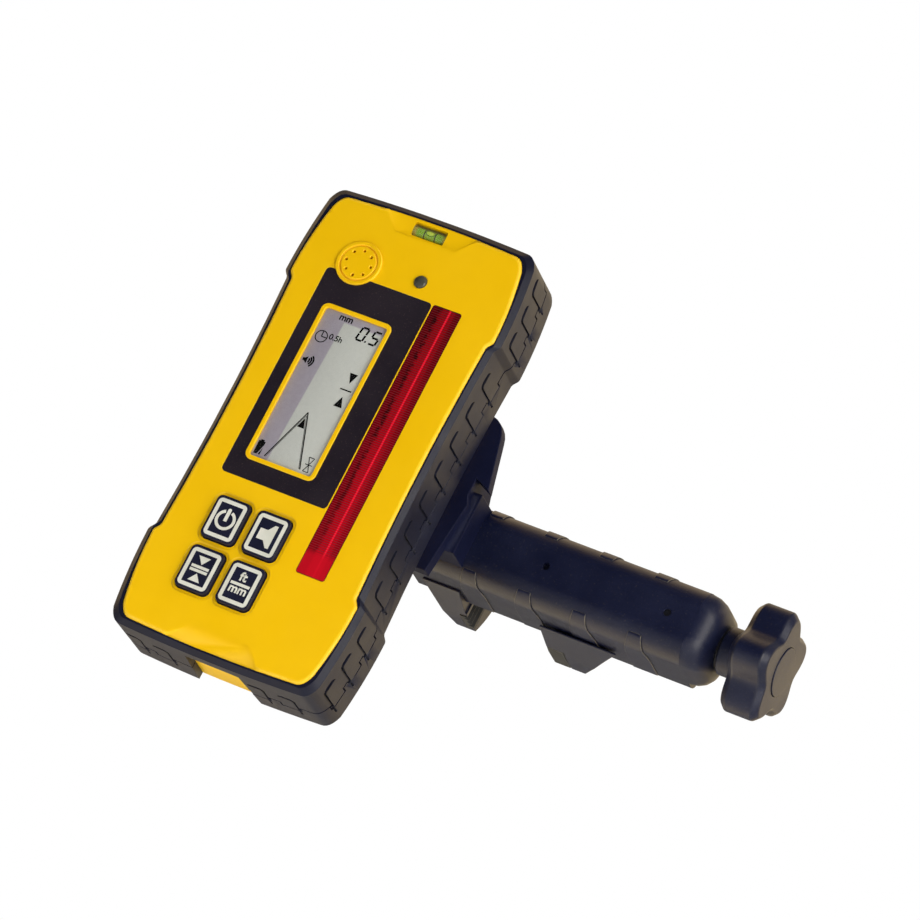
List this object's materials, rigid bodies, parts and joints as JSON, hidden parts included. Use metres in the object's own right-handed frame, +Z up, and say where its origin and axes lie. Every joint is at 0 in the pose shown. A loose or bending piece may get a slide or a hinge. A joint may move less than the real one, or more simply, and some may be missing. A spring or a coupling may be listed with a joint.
{
  "type": "laser receiver",
  "caption": "Handheld laser receiver with display, keys, red sensor window and rubber bumper, carried by a screw clamp with a star knob that grips a levelling rod.",
  "frame": {"origin": "on the rod's axis, midway between the clamp jaws as pictured", "axes": "+Z up along the rod, +X from the receiver towards the clamp knob, +Y from the display towards the rod, so the display faces -Y"},
  "size_m": [0.1945, 0.0983, 0.1664],
  "materials": {
    "yellow_plastic": "fine satin",
    "black_rubber": "matt",
    "black_plastic": "fine texture",
    "black_panel": "fine texture",
    "clear_window": "polished",
    "display_grey": "satin",
    "red_window": "polished",
    "red_lens": "ribbed",
    "circuit_board": "lacquered",
    "key_rubber": "matt",
    "part_black": "satin",
    "sensor_dome": "polished",
    "vial_acrylic": "polished",
    "vial_green": "liquid",
    "steel": "bright",
    "brass": "turned",
    "cell_case": "satin",
    "bush_plastic": "turned",
    "pad_rubber": "matt"
  },
  "bodies": {
    "receiver": {"front_housing": "yellow_plastic", "rear_housing": "yellow_plastic", "front_bumper": "black_rubber", "rear_bumper": "black_rubber", "display_mask": "black_panel", "display_window": "clear_window", "lcd_panel": "display_grey", "sensor_window": "red_window", "sensor_lens": "red_lens", "sensor_board": "circuit_board", "main_board": "circuit_board", "key_switches": "part_black", "sounder": "part_black", "light_sensor": "sensor_dome", "level_vial": "vial_acrylic", "vial_fluid": "vial_green", "housing_screws": "steel", "thread_insert": "brass", "door_pin": "steel", "batteries": "cell_case", "battery_contacts": "steel", "clamp_bracket": "black_plastic", "locating_pins": "steel", "arm_housing": "black_plastic", "arm_cover": "black_plastic", "cover_screws": "steel", "arm_grips": "black_plastic", "arm_pin": "part_black", "fixed_jaw": "black_plastic", "fixed_jaw_pad": "pad_rubber", "inner_bush": "bush_plastic", "outer_bush": "bush_plastic", "thrust_washer": "part_black"},
    "power_key": {"key_power": "key_rubber"},
    "sound_key": {"key_sound": "key_rubber"},
    "mode_key": {"key_mode": "key_rubber"},
    "units_key": {"key_units": "key_rubber"},
    "door": {"battery_door": "yellow_plastic"},
    "mount_screw": {"mount_screw": "black_plastic"},
    "knob": {"knob": "black_plastic", "knob_cap": "black_plastic", "spindle": "steel", "retaining_ring": "steel"},
    "jaw": {"moving_jaw": "black_plastic", "moving_jaw_pad": "pad_rubber", "jaw_nut": "brass", "jaw_screws": "steel"}
  },
  "joints": [
    {"name": "power_press", "type": "slide", "parent": "receiver", "child": "power_key", "axis": [0, 1, 0], "range_m": [0, 0.0008], "stiffness_N_per_m": 400},
    {"name": "sound_press", "type": "slide", "parent": "receiver", "child": "sound_key", "axis": [0, 1, 0], "range_m": [0, 0.0008], "stiffness_N_per_m": 400},
    {"name": "mode_press", "type": "slide", "parent": "receiver", "child": "mode_key", "axis": [0, 1, 0], "range_m": [0, 0.0008], "stiffness_N_per_m": 400},
    {"name": "units_press", "type": "slide", "parent": "receiver", "child": "units_key", "axis": [0, 1, 0], "range_m": [0, 0.0008], "stiffness_N_per_m": 400},
    {"name": "door_swing", "type": "hinge", "parent": "receiver", "child": "door", "pos_m": [-0.056, -0.0531, -0.0199], "axis": [1, 0, 0], "range_deg": [0, 95]},
    {"name": "mount_turn", "type": "hinge", "parent": "receiver", "child": "mount_screw", "pos_m": [-0.056, -0.0465, 0], "axis": [0, 1, 0], "continuous": true},
    {"name": "knob_turn", "type": "hinge", "parent": "receiver", "child": "knob", "pos_m": [0.08, -0.0195, -0.00075], "axis": [1, 0, 0], "range_deg": [-1620, 1620]},
    {"name": "jaw_slide", "type": "slide", "parent": "receiver", "child": "jaw", "axis": [1, 0, 0], "range_m": [-0.018, 0.018]}
  ],
  "couplings": [
    {"joint": "jaw_slide", "follows": "knob_turn", "m_per_rad": 0.00063662}
  ]
}
